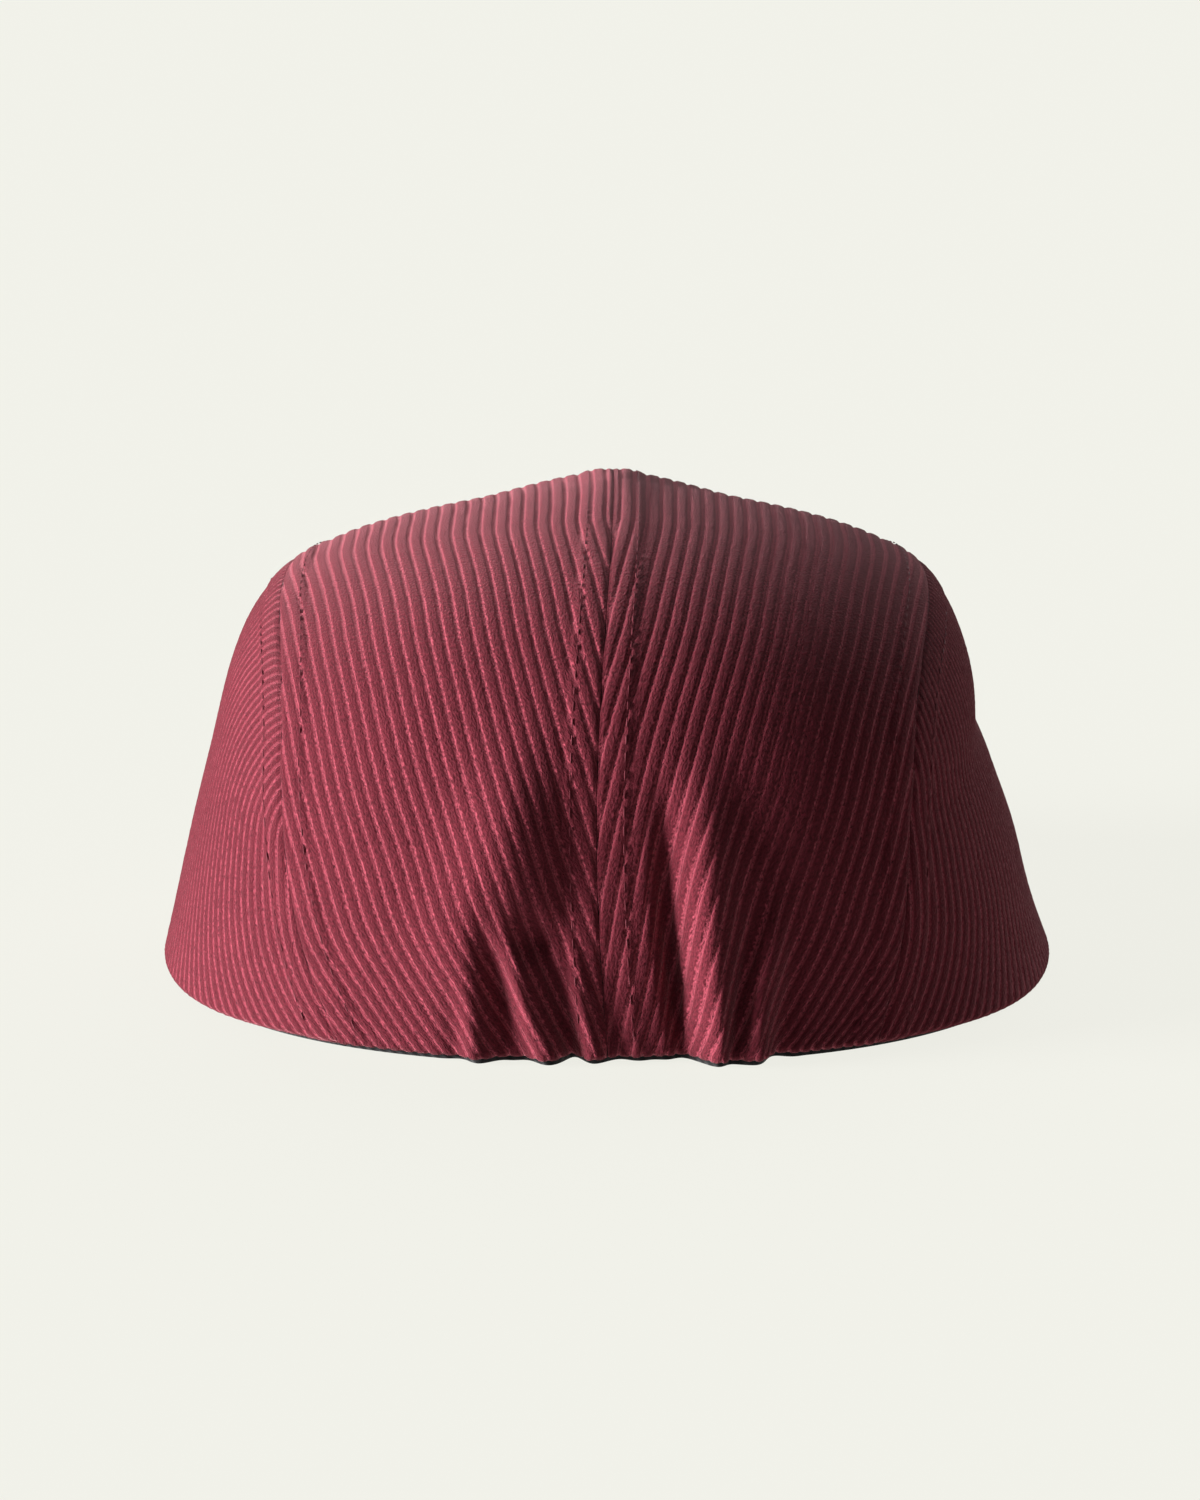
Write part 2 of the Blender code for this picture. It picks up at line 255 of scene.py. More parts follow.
def patch(bottom: np.ndarray, top: np.ndarray, start: np.ndarray, end: np.ndarray) -> np.ndarray:
    """Fills the space between four edges with a grid of points.

    Args:
        bottom: The first row's points.
        top: The last row's points.
        start: The first column's points, from bottom to top.
        end: The last column's points, from bottom to top.

    Returns:
        An array of rows, columns and coordinates.
    """
    u = np.linspace(0, 1, len(bottom))[None, :, None]
    v = np.linspace(0, 1, len(start))[:, None, None]
    ruled = (1 - v) * bottom[None] + v * top[None] + (1 - u) * start[:, None] + u * end[:, None]
    corners = (1 - u) * (1 - v) * bottom[0] + u * (1 - v) * bottom[-1]
    return ruled - corners - (1 - u) * v * top[0] - u * v * top[-1]


def running_length(points: np.ndarray, axis: int) -> np.ndarray:
    """Measures the length run along one axis of a grid of points, starting from 0.

    Args:
        points: The grid.
        axis: 0 to run up the columns, or 1 to run along the rows.

    Returns:
        The length at each point.
    """
    steps = np.linalg.norm(np.diff(points, axis=axis), axis=-1)
    lengths = np.cumsum(steps, axis=axis)
    return np.concatenate([np.zeros_like(np.take(lengths, [0], axis=axis)), lengths], axis=axis)


@dataclass(frozen=True)
class CrownShape:
    """The crown's surface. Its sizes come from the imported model's boxes."""

    hem_width: float
    hem_front: float
    height: float
    hem_back: float = 0.097
    peak_arch: float = 0.007
    peak_half_angle: float = 56.0
    squareness: float = 2.25
    apex_forward: float = 0.012
    sway_middle: float = 0.0027
    sway_top: float = -0.0013
    level_height: float = 0.014
    back_hem_lift: float = 0.0010
    pucker_reach: float = 0.011
    pucker_rise: float = 0.0009
    pucker_middle: float = -1.5
    pucker_half_width: float = 24.0
    pucker_edge: float = 8.0

    @classmethod
    def from_frame(cls) -> CrownShape:
        """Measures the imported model.

        Returns:
            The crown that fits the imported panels.
        """
        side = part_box("side_panel_left")[1]
        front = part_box("front_panel")[0]
        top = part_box("back_panel_left")[1]
        return cls(hem_width=2 * side[0], hem_front=-front[1], height=top[2])

    def hem_outline(self, direction: np.ndarray) -> np.ndarray:
        """Gives the hem's outer edge in plan.

        Args:
            direction: Directions from the back, in degrees.

        Returns:
            The edge's x and y in each direction.
        """
        angle = np.radians(direction)
        across, along = np.sin(angle), np.cos(angle)
        power = self.squareness
        size = (np.abs(across) ** power + np.abs(along) ** power) ** (-1 / power)
        reach = np.where(along > 0, self.hem_back, self.hem_front)
        return np.stack([self.hem_width / 2 * size * across, reach * size * along], axis=-1)

    def peak_half_width(self) -> float:
        """Half the peak's width, which its ends on the hem set."""
        return float(self.hem_outline(np.array(180.0 - self.peak_half_angle))[0])

    def arch(self, x: np.ndarray) -> np.ndarray:
        """Gives the height of the peak's underside at a distance from the centre line."""
        return self.peak_arch * np.clip(1 - (x / self.peak_half_width()) ** 2, 0, None)

    def hem_height(self, direction: np.ndarray) -> np.ndarray:
        """Gives the hem's height, arched over the peak and lifted a little over the elastic.

        Args:
            direction: Directions from the back, in degrees.

        Returns:
            The height in each direction.
        """
        outline = self.hem_outline(direction)
        over_peak = np.where(outline[..., 1] < 0, self.arch(outline[..., 0]), 0.0)
        seam = SIDE_SEAM[0].direction
        return over_peak + self.back_hem_lift * (1 - smooth_step((np.abs(direction) - seam) / seam))

    def height_per_climb(self, wall_up: float | np.ndarray) -> float | np.ndarray:
        """Gives how fast the surface rises with the climb at the hem, for the handle of its wall."""
        return 3 * self.height * wall_up

    def meridian(self, direction: np.ndarray) -> np.ndarray:
        """Gives the section's four handles.

        Args:
            direction: Directions from the back, in degrees.

        Returns:
            The handles, each an array over the directions.
        """
        rows = np.array([row[1:] for row in MERIDIANS])
        step = MERIDIANS[1].direction - MERIDIANS[0].direction
        mirrored = np.vstack([rows[1], rows, rows[-2]])
        return np.moveaxis(hermite(mirrored, np.abs(direction) / step + 1), -1, 0)

    def dome(self, place: np.ndarray) -> np.ndarray:
        """Gives the smooth outer surface, without folds.

        Args:
            place: Disc points.

        Returns:
            Their points in space.
        """
        direction, climb = polar(place)
        wall_out, wall_up, roof_out, roof_up = self.meridian(direction)
        start, wall = (1 - climb) ** 3, 3 * (1 - climb) ** 2 * climb
        roof, end = 3 * (1 - climb) * climb**2, climb**3
        reach = start + wall * wall_out + roof * roof_out
        share = wall * wall_up + roof * roof_up + end
        outline = self.hem_outline(direction)
        sway = self.sway_middle * np.sin(math.pi * share) + self.sway_top * share
        x = outline[..., 0] * reach + sway
        y = -self.apex_forward + (outline[..., 1] + self.apex_forward) * reach
        return np.stack([x, y, self.height * share + self.hem_height(direction) * start], axis=-1)

    def outward(self, place: np.ndarray) -> np.ndarray:
        """Gives directions out of the surface, which turn level towards the hem.

        Args:
            place: Disc points.

        Returns:
            A unit direction for each.
        """
        step = 1e-4
        along_a = self.dome(place + [step, 0]) - self.dome(place - [step, 0])
        along_b = self.dome(place + [0, step]) - self.dome(place - [0, step])
        normal = np.cross(along_a, along_b)
        normal /= np.linalg.norm(normal, axis=-1, keepdims=True)
        height = self.dome(place)[..., 2]
        normal[..., 2] *= smooth_step(height / self.level_height)
        return normal / np.linalg.norm(normal, axis=-1, keepdims=True)

    def relief(self, place: np.ndarray) -> np.ndarray:
        """Gives how far folds, dents and hem puckers stand out of the smooth surface.

        Args:
            place: Disc points.

        Returns:
            The rise at each.
        """
        direction, climb = polar(place)
        total = np.zeros_like(climb)
        for fold in FOLDS:
            share = np.clip(climb / fold.top, 0, 1)
            offset = (direction - fold.direction - fold.lean * share) / fold.half_width
            total += fold.rise * smooth_step((1 - share) / FOLD_FADE) * bell(offset)
        for dent in DENTS:
            sideways = (direction - dent.direction) / dent.half_width
            total += dent.rise * bell(sideways) * bell((climb - dent.climb) / dent.half_height)
        return total + self.hem_puckers(direction, climb)

    def hem_puckers(self, direction: np.ndarray, climb: np.ndarray) -> np.ndarray:
        """Gives the small puckers that the elastic pulls into the back hem.

        Args:
            direction: Directions from the back, in degrees.
            climb: The climb at each.

        Returns:
            The rise at each.
        """
        arc = np.radians(direction) * self.hem_back
        wave = sum(ripple.share * np.sin(arc / ripple.length + ripple.shift) for ripple in PUCKERS)
        off_middle = np.abs(direction - self.pucker_middle)
        window = smooth_step((self.pucker_half_width - off_middle) / self.pucker_edge)
        fade = np.exp(-climb * self.height_per_climb(MERIDIANS[0].wall_up) / self.pucker_reach)
        return self.pucker_rise * wave * window * fade

    def surface(self, place: np.ndarray, depth: float = 0.0) -> np.ndarray:
        """Gives the crown's surface at a depth below its outer face."""
        return self.dome(place) + self.outward(place) * (self.relief(place) - depth)[..., None]


class Seam:
    """A seam between panels: a fine line on the smooth crown that other shapes are measured from."""

    POINTS = 240
    CHUNK = 4000

    def __init__(self, crown: CrownShape, places: np.ndarray) -> None:
        """Lays the seam through disc points on a crown."""
        self.points = crown.dome(places)
        self.run = running_length(self.points[None], 1)[0]

    def measure(self, points: np.ndarray) -> tuple[np.ndarray, np.ndarray]:
        """Measures points against the seam.

        Args:
            points: Any array of points.

        Returns:
            The distance of each from the seam, and how far along the seam it lies.
        """
        flat = points.reshape(-1, 3)
        distance, along = np.empty(len(flat)), np.empty(len(flat))
        start, step = self.points[:-1], np.diff(self.points, axis=0)
        length = (step**2).sum(axis=1)
        for first in range(0, len(flat), self.CHUNK):
            part = slice(first, first + self.CHUNK)
            chunk = flat[part]
            offset = chunk[:, None] - start[None]
            share = np.clip((offset * step).sum(axis=-1) / length, 0, 1)
            gap = np.linalg.norm(offset - share[..., None] * step, axis=-1)
            best = gap.argmin(axis=1)
            rows = np.arange(len(chunk))
            distance[part] = gap[rows, best]
            along[part] = self.run[best] + share[rows, best] * np.sqrt(length[best])
        return distance.reshape(points.shape[:-1]), along.reshape(points.shape[:-1])


def seam_curve(
    rows: Sequence[SeamPoint], count: int, side: Side, first: int = 0, last: int | None = None
) -> np.ndarray:
    """Gives disc points along a seam.

    Args:
        rows: The seam's points.
        count: How many equal steps in rows the points make.
        side: The side of the cap.
        first: The row to start from.
        last: The row to end on, which is the seam's last one unless it is given.

    Returns:
        The disc points, one more than the steps.
    """
    place = np.linspace(first, len(rows) - 1 if last is None else last, count + 1)
    points = hermite(np.array(rows, dtype=float), place)
    return disc(side.value * points[:, 0], points[:, 1])


def centre_line(count: int) -> np.ndarray:
    """Gives disc points of the centre seam, from the back hem to the front panel.

    Args:
        count: How many equal steps the points make.

    Returns:
        The disc points, one more than the steps.
    """
    share = np.linspace(0, 1, count + 1)[:, None]
    line = (1 - share) * disc(0.0, 0.0) + share * disc(180.0, FRONT_TOP[-1].climb)
    line[:, 0] = 0.0
    return line


@dataclass(frozen=True)
class SeamProfile:
    """The section of a topstitched seam: a raised band, its middle groove, a channel at each stitch row."""

    half_band: float = 0.0050
    band_edge: float = 0.0016
    band_rise: float = 0.00045
    groove_depth: float = 0.0003
    groove_half_width: float = 0.0006
    channel_depth: float = 0.0002
    channel_half_width: float = 0.0007
    stitch_pitch: float = 0.0034
    stitch_share: float = 0.6
    stitch_radius: float = 0.00014
    slack: float = 0.65

    def rise(self, distance: np.ndarray, along: np.ndarray) -> np.ndarray:
        """Gives how far the cloth stands out.

        Args:
            distance: How far the points are from the seam.
            along: How far along the seam they are.

        Returns:
            The rise, which is negative in the groove and the channels.
        """
        band = self.band_rise * smooth_step((self.half_band + self.band_edge - distance) / self.band_edge)
        groove = self.groove_depth * bell(distance / self.groove_half_width)
        pull = self.slack + (1 - self.slack) * np.cos(2 * math.pi * along / self.stitch_pitch)
        channel = self.channel_depth * pull * bell((distance - self.half_band) / self.channel_half_width)
        return band - groove - channel


def srgb(code: str) -> tuple[float, float, float, float]:
    """Turns an sRGB hex colour, such as "a0342c", to linear red, green, blue and alpha.

    Args:
        code: The colour.

    Returns:
        The linear colour.
    """
    shares = [int(code[k : k + 2], 16) / 255 for k in (0, 2, 4)]
    linear = [s / 12.92 if s <= 0.04045 else ((s + 0.055) / 1.055) ** 2.4 for s in shares]
    return (*linear, 1.0)


class NodeKit:
    """Short ways to add nodes to a tree. Most of them give the socket with the result."""

    def __init__(self, tree: bpy.types.NodeTree) -> None:
        """Takes the tree."""
        self.tree = tree

    def fill(self, node: bpy.types.Node, links: dict) -> None:
        """Sets a node's inputs.

        Args:
            node: The node.
            links: For each input's name or number, an output socket or a plain value.
        """
        for name, value in links.items():
            if isinstance(value, Socket):
                self.tree.links.new(value, node.inputs[name])
            else:
                node.inputs[name].default_value = value

    def add(self, kind: str, links: dict | None = None, **settings: object) -> bpy.types.Node:
        """Adds a node with its settings and links.

        Args:
            kind: The node's type name.
            links: What its inputs get, as in fill.
            **settings: Properties of the node.

        Returns:
            The new node.
        """
        node = self.tree.nodes.new(kind)
        for name, value in settings.items():
            setattr(node, name, value)
        self.fill(node, links or {})
        return node

    def maths(self, operation: str, *values: object) -> Socket:
        """Adds a sum on numbers or sockets."""
        return self.add("ShaderNodeMath", dict(enumerate(values)), operation=operation).outputs[0]

    def ramp(
        self,
        value: Socket,
        start: object,
        end: object,
        low: object = 0.0,
        high: object = 1.0,
        soft: bool = False,
    ) -> Socket:
        """Maps a value from one stretch to another.

        Args:
            value: The value.
            start: Where the result is low, as a number or a socket.
            end: Where it is high.
            low: The result at the start.
            high: The result at the end.
            soft: Whether the ramp bends softly at its ends.

        Returns:
            The result.
        """
        links = {"Value": value, "From Min": start, "From Max": end, "To Min": low, "To Max": high}
        bend = "SMOOTHSTEP" if soft else "LINEAR"
        return self.add("ShaderNodeMapRange", links, interpolation_type=bend).outputs[0]

    def seen(self, cast: float, shown: float) -> Socket:
        """Gives one strength to the light that is cast, and another to what the camera sees."""
        return self.ramp(self.add("ShaderNodeLightPath").outputs["Is Camera Ray"], 0.0, 1.0, cast, shown)


class Finish(NodeKit):
    """A new material with its Principled shader."""

    def __init__(self, name: str) -> None:
        """Makes the material."""
        self.made = bpy.data.materials.new(name)
        self.made.use_nodes = True
        super().__init__(self.made.node_tree)

    def stored(self, name: str) -> Socket:
        """Reads a number stored on the cloth's points."""
        return self.add("ShaderNodeAttribute", attribute_name=name).outputs["Fac"]

    def place(self) -> Socket:
        """Gives the point in the object's own space."""
        return self.add("ShaderNodeTexCoord").outputs["Object"]

    def noise(self, vector: Socket, scale: float, detail: float, roughness: float) -> Socket:
        """Adds a cloudy noise."""
        links = {"Vector": vector, "Scale": scale, "Detail": detail, "Roughness": roughness}
        return self.add("ShaderNodeTexNoise", links).outputs["Fac"]

    def mix(self, share: Socket, low: str | Socket, high: str | Socket) -> Socket:
        """Mixes two colours, each of them a hex colour or a socket."""
        first, second = (srgb(colour) if isinstance(colour, str) else colour for colour in (low, high))
        return self.add("ShaderNodeMix", {"Factor": share, 6: first, 7: second}, data_type="RGBA").outputs[2]

    def bump(self, height: Socket, strength: float, distance: float) -> Socket:
        """Adds a bump, and gives its normal."""
        links = {"Height": height, "Strength": strength, "Distance": distance}
        return self.add("ShaderNodeBump", links).outputs[0]

    def coat(self, links: dict[str, object]) -> bpy.types.Material:
        """Sets the shader's inputs, and gives the material."""
        self.fill(self.tree.nodes["Principled BSDF"], links)
        return self.made


@dataclass(frozen=True)
class Corduroy:
    """Cut cotton corduroy: soft wales of pile with the ground weave between them, whose darker tone in the
    groove is partly painted shade.

    A zone is where a tone starts and is full, in shares of the pitch from the middle of a wale. The flank tone,
    paler than the crest and body, is painted sheen on both sides of each wale.
    """

    pitch: float = 0.0029
    crest: str = "64222d"
    body: str = "531923"
    # Paler tone of both wale flanks: painted sheen of fibre sides catching light.
    flank: str = "8e3c49"
    # Ground weave in the groove, its darker tone partly painted shade.
    ground: str = "4c1a24"
    sheen: str = "e0949c"
    sheen_flank_zone: tuple[float, float] = (0.27, 0.43)
    pile_zone: tuple[float, float] = (0.5, 0.455)
    mottle_size: float = 0.009
    fibre_size: float = 0.00042
    fibre_stretch: float = 0.55
    fibre_bump: float = 0.00045
    speckle: tuple[float, float] = (0.5, 1.5)
    bloom: tuple[float, float] = (0.38, 0.8)
    stray: float = 0.0015

    def material(self) -> bpy.types.Material:
        """Builds the material. The eye sees a matte velvet with a pale bloom where light grazes the pile, from
        the shader's sheen and from the paler flank tone, which is painted sheen.

        Returns:
            The material.
        """
        kit = Finish("brushed_corduroy")
        across, along = kit.stored("across"), kit.stored("along")
        cloth = kit.add("ShaderNodeCombineXYZ", {"X": across, "Y": along, "Z": 0.0}).outputs[0]
        scale = (1 / self.fibre_size, self.fibre_stretch / self.fibre_size, 1.0)
        scaled = kit.add("ShaderNodeVectorMath", {0: cloth, 1: scale}, operation="MULTIPLY").outputs[0]
        fibres = kit.noise(scaled, 1.0, 3.0, 0.6)
        strayed = kit.maths("MULTIPLY_ADD", kit.maths("SUBTRACT", fibres, 0.5), self.stray, across)
        phase = kit.maths("FRACT", kit.maths("DIVIDE", strayed, self.pitch))
        offset = kit.maths("ABSOLUTE", kit.maths("SUBTRACT", phase, 0.5))
        pile = kit.ramp(offset, *self.pile_zone, soft=True)
        # Ramp into the flanks, which take the paler flank tone as painted sheen, and more sheen weight.
        fanned = kit.ramp(offset, *self.sheen_flank_zone, soft=True)
        mottle = kit.noise(kit.place(), 1 / self.mottle_size, 4.0, 0.55)
        wale = kit.mix(fanned, kit.mix(mottle, self.body, self.crest), self.flank)
        # The groove takes the darker ground tone, partly painted shade.
        wale_with_shaded_groove = kit.mix(pile, self.ground, wale)
        speckle = kit.ramp(fibres, 0.3, 0.7, *self.speckle)
        colour = kit.add("ShaderNodeVectorMath", {0: wale_with_shaded_groove, "Scale": speckle}, operation="SCALE")
        links = {
            "Base Color": colour.outputs[0],
            "Normal": kit.bump(fibres, 1.0, self.fibre_bump),
            "Roughness": 0.92,
            "Specular IOR Level": 0.12,
            "Sheen Weight": kit.ramp(fanned, 0.0, 1.0, *self.bloom),
            "Sheen Roughness": 0.38,
            "Sheen Tint": srgb(self.sheen),
        }
        return kit.coat(links)


@dataclass(frozen=True)
class PlainWeave:
    """A flat woven cloth, seen up close as a fine basket of threads."""

    name: str
    colour: str
    shade: str
    # shade is the colour of the dips between threads, painted shade.
    thread: float
    sheen: float = 0.15

    def material(self) -> bpy.types.Material:
        """Builds the material. The eye sees a dull cloth with a fine, even grid, whose dips between threads
        take the shade colour as painted shade.

        Returns:
            The material.
        """
        kit = Finish(self.name)
        turns = math.pi / self.thread
        angles = [kit.maths("MULTIPLY", kit.stored(label), turns) for label in ("across", "along")]
        weave = kit.maths("MULTIPLY", *(kit.maths("SINE", angle) for angle in angles))
        height = kit.ramp(weave, -1.0, 1.0)
        links = {
            "Base Color": kit.mix(height, self.shade, self.colour),
            "Normal": kit.bump(height, 0.5, self.thread / 4),
            "Roughness": 0.85,
            "Specular IOR Level": 0.2,
            "Sheen Weight": self.sheen,
        }
        return kit.coat(links)


@dataclass(frozen=True)
class Thread:
    """Polyester sewing thread, two plies twisted."""

    colour: str = "6b2833"
    twist: float = 0.0006
    groove: float = 0.0001

    def material(self) -> bpy.types.Material:
        """Builds the material. The eye sees a slight gloss along each stitch.

        Returns:
            The material.
        """
        kit = Finish("sewing_thread")
        wave = {"Vector": kit.place(), "Scale": 0.3 / self.twist, "Distortion": 1.0}
        ply = kit.add("ShaderNodeTexWave", wave)
        links = {
            "Base Color": srgb(self.colour),
            "Normal": kit.bump(ply.outputs["Fac"], 0.5, self.groove),
            "Roughness": 0.7,
            "Specular IOR Level": 0.25,
        }
        return kit.coat(links)


@dataclass(frozen=True)
class StudioPaper:
    """Cream background paper, lit so evenly that it glows a little by itself."""

    colour: str = "f1f1e9"
    paper: str = "444442"
    glow: float = 0.94
    fill: float = 0.76

    def material(self) -> bpy.types.Material:
        """Builds the material. The eye sees one even pale tone, of which less falls on the cap as fill.

        Returns:
            The material.
        """
        kit = Finish("cream_background_paper")
        links = {
            "Base Color": srgb(self.paper),
            "Roughness": 1.0,
            "Specular IOR Level": 0.0,
            "Emission Color": srgb(self.colour),
            "Emission Strength": kit.seen(self.fill, self.glow),
        }
        return kit.coat(links)


class NodeTool(NodeKit):
    """A Geometry Nodes tree with named inputs, which turns an object into a plain mesh."""

    def __init__(self, name: str, numbers: Sequence[str], materials: Sequence[str]) -> None:
        """Starts the tree.

        Args:
            name: The tree's name.
            numbers: The names of its inputs that are numbers.
            materials: The names of those that are materials.
        """
        super().__init__(bpy.data.node_groups.new(name, "GeometryNodeTree"))
        interface = self.tree.interface
        interface.new_socket("Geometry", in_out="INPUT", socket_type="NodeSocketGeometry")
        kinds = {label: "NodeSocketFloat" for label in numbers}
        kinds.update({label: "NodeSocketMaterial" for label in materials})
        self.sockets = {
            label: interface.new_socket(label, in_out="INPUT", socket_type=kind).identifier
            for label, kind in kinds.items()
        }
        interface.new_socket("Geometry", in_out="OUTPUT", socket_type="NodeSocketGeometry")
        self.source = self.tree.nodes.new("NodeGroupInput")
        self.sink = self.tree.nodes.new("NodeGroupOutput")

    def input(self, label: str) -> Socket:
        """Gives the socket of a named input inside the tree."""
        return self.source.outputs[label]

    def stored(self, name: str) -> Socket:
        """Reads a number stored on the cloth's points."""
        return self.add("GeometryNodeInputNamedAttribute", {"Name": name}, data_type="FLOAT").outputs[0]

    def paint(self, geometry: Socket, label: str, chosen: Socket | bool = True) -> Socket:
        """Sets a named input's material on the chosen faces."""
        links = {"Geometry": geometry, "Selection": chosen, "Material": self.input(label)}
        return self.add("GeometryNodeSetMaterial", links).outputs[0]

    def close(self, geometry: Socket) -> None:
        """Ends the tree by realizing its instances."""
        real = self.add("GeometryNodeRealizeInstances", {"Geometry": geometry})
        self.tree.links.new(real.outputs[0], self.sink.inputs[0])

    def apply(self, piece: bpy.types.Object, values: dict[str, object]) -> bpy.types.Object:
        """Runs the tree on an object and keeps the result as its mesh.

        Args:
            piece: The object.
            values: A value for each named input.

        Returns:
            The same object, with a plain mesh and no modifier.
        """
        modifier = piece.modifiers.new(self.tree.name, "NODES")
        modifier.node_group = self.tree
        for label, value in values.items():
            modifier[self.sockets[label]] = value
        graph = bpy.context.evaluated_depsgraph_get()
        old = piece.data
        piece.data = bpy.data.meshes.new_from_object(piece.evaluated_get(graph), depsgraph=graph)
        piece.modifiers.remove(modifier)
        piece.data.name = piece.name
        bpy.data.meshes.remove(old)
        return piece


class WaleTool(NodeTool):
    """Raises the wales of corduroy, and dresses both faces of the cloth."""

    def __init__(self) -> None:
        """Builds the tree, which reads the attributes across and pile."""
        numbers = ("Pitch", "Relief", "Flank", "Crown", "Tufts", "Tuft Size", "Seed")
        super().__init__("corduroy_wales", numbers, ("Face Material", "Back Material"))
        across, pile = self.stored("across"), self.stored("pile")
        phase = self.maths("FRACT", self.maths("DIVIDE", across, self.input("Pitch")))
        off_crest = self.maths("ABSOLUTE", self.maths("SUBTRACT", phase, 0.5))
        off_groove = self.maths("SUBTRACT", 0.5, off_crest)
        groove = self.ramp(off_groove, 0.0, self.input("Flank"), self.input("Relief"), 0.0, soft=True)
        bulge = self.maths("POWER", self.maths("MULTIPLY", off_crest, 2.0), 2.0)
        depth = self.maths("ADD", groove, self.maths("MULTIPLY", bulge, self.input("Crown")))
        scale = self.maths("DIVIDE", 1.0, self.input("Tuft Size"))
        links = {"Scale": scale, "W": self.input("Seed"), "Detail": 2.0}
        tufts = self.add("ShaderNodeTexNoise", links, noise_dimensions="4D").outputs[0]
        uneven = self.maths("MULTIPLY", self.maths("SUBTRACT", tufts, 0.5), self.input("Tufts"))
        rise = self.maths("MULTIPLY", self.maths("SUBTRACT", uneven, depth), pile)
        normal = self.add("GeometryNodeInputNormal").outputs[0]
        shift = self.add("ShaderNodeVectorMath", {0: normal, "Scale": rise}, operation="SCALE").outputs[0]
        moved = self.add("GeometryNodeSetPosition", {"Geometry": self.input("Geometry"), "Offset": shift})
        back = self.paint(moved.outputs[0], "Back Material")
        self.close(self.paint(back, "Face Material", self.maths("GREATER_THAN", pile, 0.4)))


class StitchTool(NodeTool):
    """Sews a row of stitches along a line of edges."""

    def __init__(self) -> None:
        """Builds the tree: a short slim grain of thread on each point of the resampled line."""
        super().__init__("stitch_row", ("Pitch", "Length", "Radius"), ("Material",))
        curve = self.add("GeometryNodeMeshToCurve", {"Mesh": self.input("Geometry")}).outputs[0]
        spacing = {"Curve": curve, "Length": self.input("Pitch")}
        even = self.add("GeometryNodeResampleCurve", spacing, mode="LENGTH").outputs[0]
        ball = {"Segments": 8, "Rings": 6, "Radius": 1.0}
        grain = self.add("GeometryNodeMeshUVSphere", ball).outputs["Mesh"]
        radius, half = self.input("Radius"), self.maths("MULTIPLY", self.input("Length"), 0.5)
        size = self.add("ShaderNodeCombineXYZ", {"X": radius, "Y": radius, "Z": half}).outputs[0]
        slim = self.add("GeometryNodeTransform", {"Geometry": grain, "Scale": size}).outputs[0]
        tangent = self.add("GeometryNodeInputTangent").outputs[0]
        turn = self.add("FunctionNodeAlignRotationToVector", {"Vector": tangent}, axis="Z").outputs[0]
        sewn = {"Points": even, "Instance": slim, "Rotation": turn}
        self.close(self.paint(self.add("GeometryNodeInstanceOnPoints", sewn).outputs[0], "Material"))


def add_object(name: str, data: bpy.types.ID) -> bpy.types.Object:
    """Makes an object of a mesh, a light or a camera, and links it to the scene.

    Args:
        name: The object's name.
        data: What it shows.

    Returns:
        The object.
    """
    made = bpy.data.objects.new(name, data)
    bpy.context.scene.collection.objects.link(made)
    return made


def add_cloth(name: str, points: np.ndarray, faces: list, values: dict[str, np.ndarray]) -> bpy.types.Object:
    """Makes an object of a smooth mesh with numbers stored on its points.

    Args:
        name: The name of the mesh and of the object.
        points: The points, of any shape.
        faces: The faces, as lists of point numbers.
        values: A number for each point, for each attribute's name.

    Returns:
        The object.
    """
    mesh = bpy.data.meshes.new(name)
    mesh.from_pydata(points.reshape(-1, 3).tolist(), [], faces)
    for label, grid in values.items():
        data = grid.reshape(-1).astype(np.float32)
        mesh.attributes.new(label, "FLOAT", "POINT").data.foreach_set("value", data)
    mesh.shade_smooth()
    return add_object(name, mesh)


def rim_of(index: np.ndarray) -> tuple[np.ndarray, ...]:
    """Lists the index lines of a grid's four edges, in order round the grid."""
    return index[0, :], index[:, -1], index[-1, ::-1], index[::-1, 0]


def grid_faces(index: np.ndarray) -> np.ndarray:
    """Lists the four-sided faces of a grid of point numbers."""
    return np.stack([index[:-1, :-1], index[:-1, 1:], index[1:, 1:], index[1:, :-1]], axis=-1).reshape(-1, 4)


